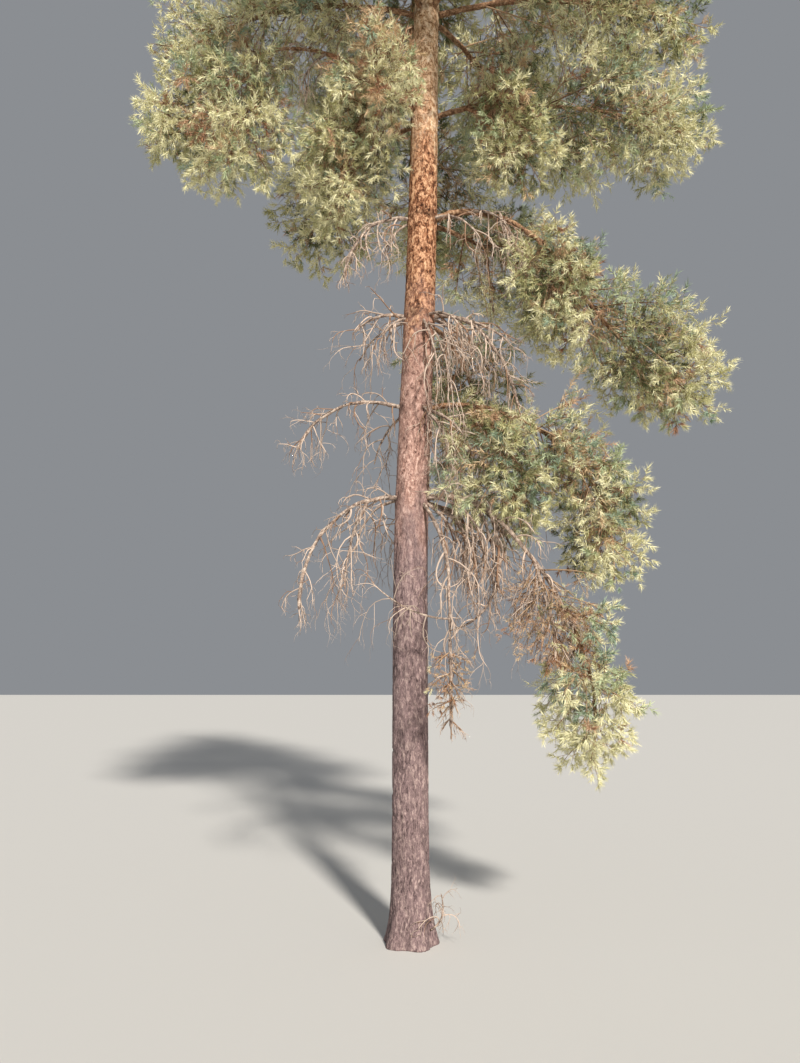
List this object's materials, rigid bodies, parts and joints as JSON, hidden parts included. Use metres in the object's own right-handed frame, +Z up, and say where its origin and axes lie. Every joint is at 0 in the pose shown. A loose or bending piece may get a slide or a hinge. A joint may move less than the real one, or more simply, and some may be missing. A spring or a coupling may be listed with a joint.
{
  "type": "pine tree",
  "caption": "Whole pine tree rooted in the ground: tall straight trunk leaning slightly, bare hanging dead boughs low down, drooping masses of needles and a full narrow crown.",
  "frame": {"origin": "middle of the flat cut under the trunk at ground level", "axes": "+Z up along the trunk, +X to the right and +Y away as the picture is seen"},
  "size_m": [4.147, 3.8222, 11.2923],
  "materials": {
    "trunk_bark": "furrowed grey-brown bark below, thin flaking orange bark above",
    "bough_bark": "thin flaking orange-brown bark",
    "dead_wood": "weathered bare grey-beige wood",
    "dead_twigs": "weathered bare grey-beige twigs",
    "needles": "fine grey-green needles, yellow-green in the sun",
    "dry_needles": "dry red-brown needles on hanging twigs"
  },
  "bodies": {
    "root": {"trunk": "trunk_bark", "bough_1_left": "dead_wood", "bough_1_right": "dead_wood", "bough_1_right_outer": "dead_wood", "bough_1_right_hook": "dead_wood", "bough_1_right_hook_end": "dead_wood", "bough_1_front": "dead_wood", "bough_2_left": "dead_wood", "bough_2_right": "bough_bark", "bough_2_right_outer": "bough_bark", "bough_3_left": "dead_wood", "bough_3_right": "dead_wood", "bough_4_left": "dead_wood", "bough_4_right": "bough_bark", "bough_4_right_outer": "bough_bark", "bough_5_left": "bough_bark", "bough_5_left_outer": "bough_bark", "bough_5_right": "bough_bark", "dead_twigs_1_left": "dead_twigs", "dead_twigs_1_front": "dry_needles", "dead_twigs_2_left": "dead_twigs", "dead_twigs_3_right": "dead_twigs", "dead_twigs_4_left": "dead_twigs", "needles_1_right_inner": "dry_needles", "needles_1_right_outer": "needles", "needles_2_right_inner": "needles", "needles_2_right_outer": "needles", "needles_4_right_low": "needles", "needles_4_right_tip": "needles", "needles_4_right_back": "needles", "needles_3_back": "needles", "needles_5_back_left": "needles", "needles_5_back": "needles", "needles_5_right_inner": "needles", "needles_5_right_outer": "needles", "needles_5_left_inner": "needles", "needles_5_left_low": "needles", "needles_5_left_tip": "needles", "needles_6_right": "needles", "needles_6_left": "needles", "needles_6_back_right": "needles", "needles_6_back_left": "needles", "needles_6_front_left": "needles", "needles_6_front_right": "needles", "needles_7_right": "needles", "needles_7_back": "needles", "needles_7_left": "needles", "needles_7_front": "needles", "needles_8_right": "needles", "needles_8_back": "needles", "needles_8_left": "needles", "needles_9_right": "needles", "needles_9_left": "needles", "needles_9_front": "needles", "needles_10_right": "needles", "needles_10_back": "needles", "needles_10_left": "needles", "needles_11_right": "needles", "needles_11_left": "needles", "needles_top": "needles"}
  },
  "joints": []
}
